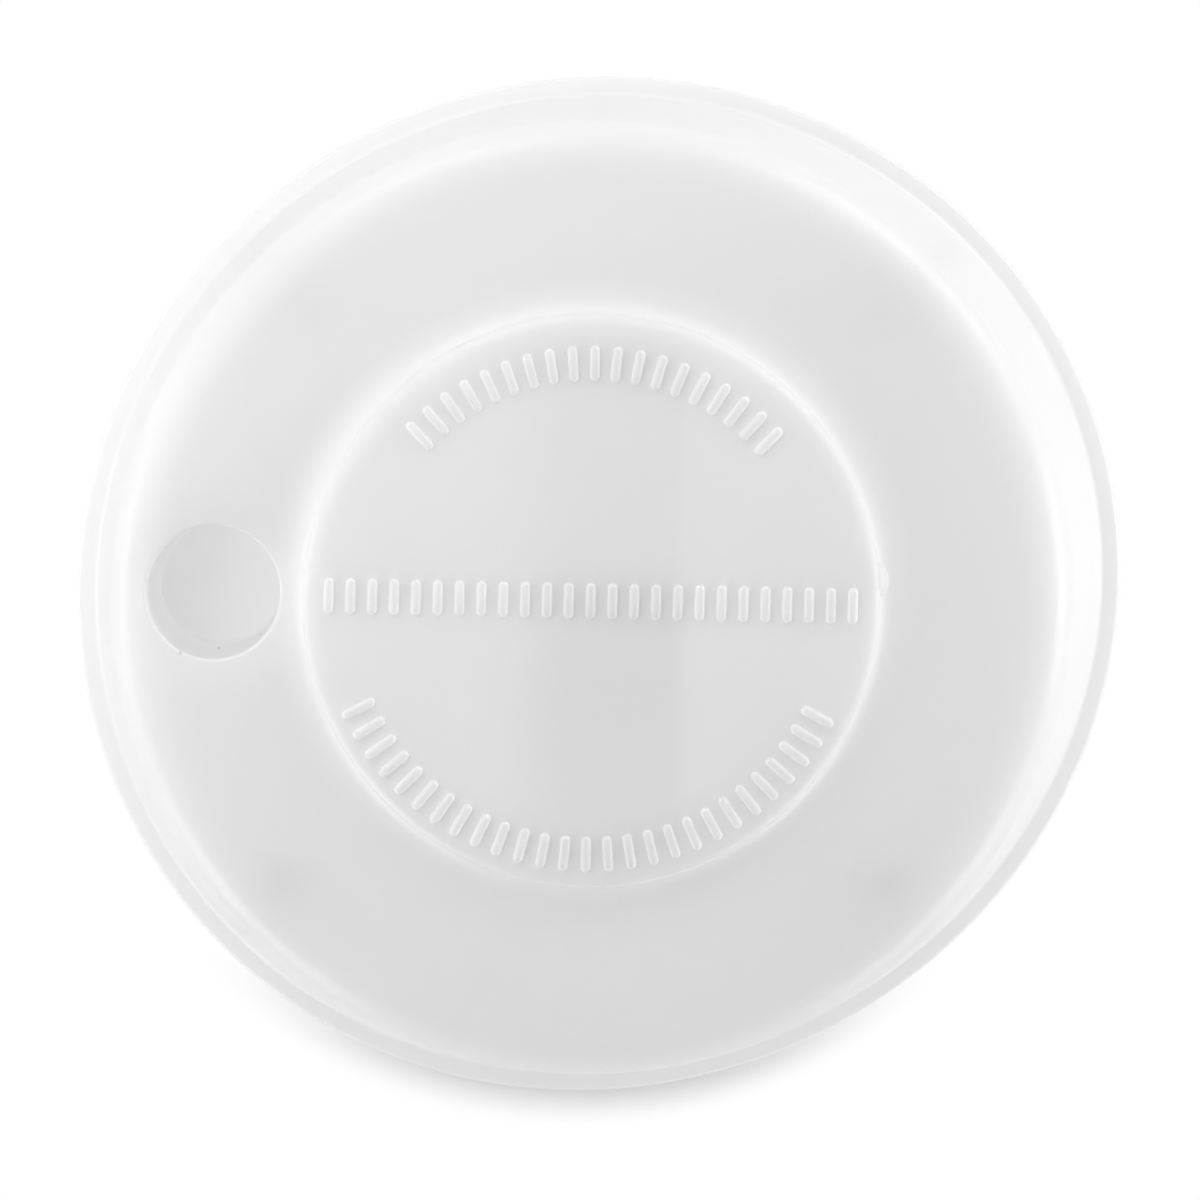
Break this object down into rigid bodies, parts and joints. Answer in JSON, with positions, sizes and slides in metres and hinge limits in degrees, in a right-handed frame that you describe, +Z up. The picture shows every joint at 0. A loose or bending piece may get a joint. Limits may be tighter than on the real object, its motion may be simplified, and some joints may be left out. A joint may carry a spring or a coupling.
{
  "type": "plumbing vent cap",
  "caption": "Round push-on plastic cap with a rimmed, gently flared skirt, a raised centre disc, a deep finger well and stop ribs inside.",
  "frame": {"origin": "centre of the rim's flat underside, on the cap's axis", "axes": "+Z up through the crown; the finger well stands on the -X side, and the ribs inside stand at 45 degrees to X and Y"},
  "size_m": [0.146, 0.146, 0.0381],
  "materials": {
    "cap_plastic": "soft satin, slightly translucent white polyethylene, as moulded"
  },
  "bodies": {
    "root": {"vent_cap": "cap_plastic"}
  },
  "joints": []
}
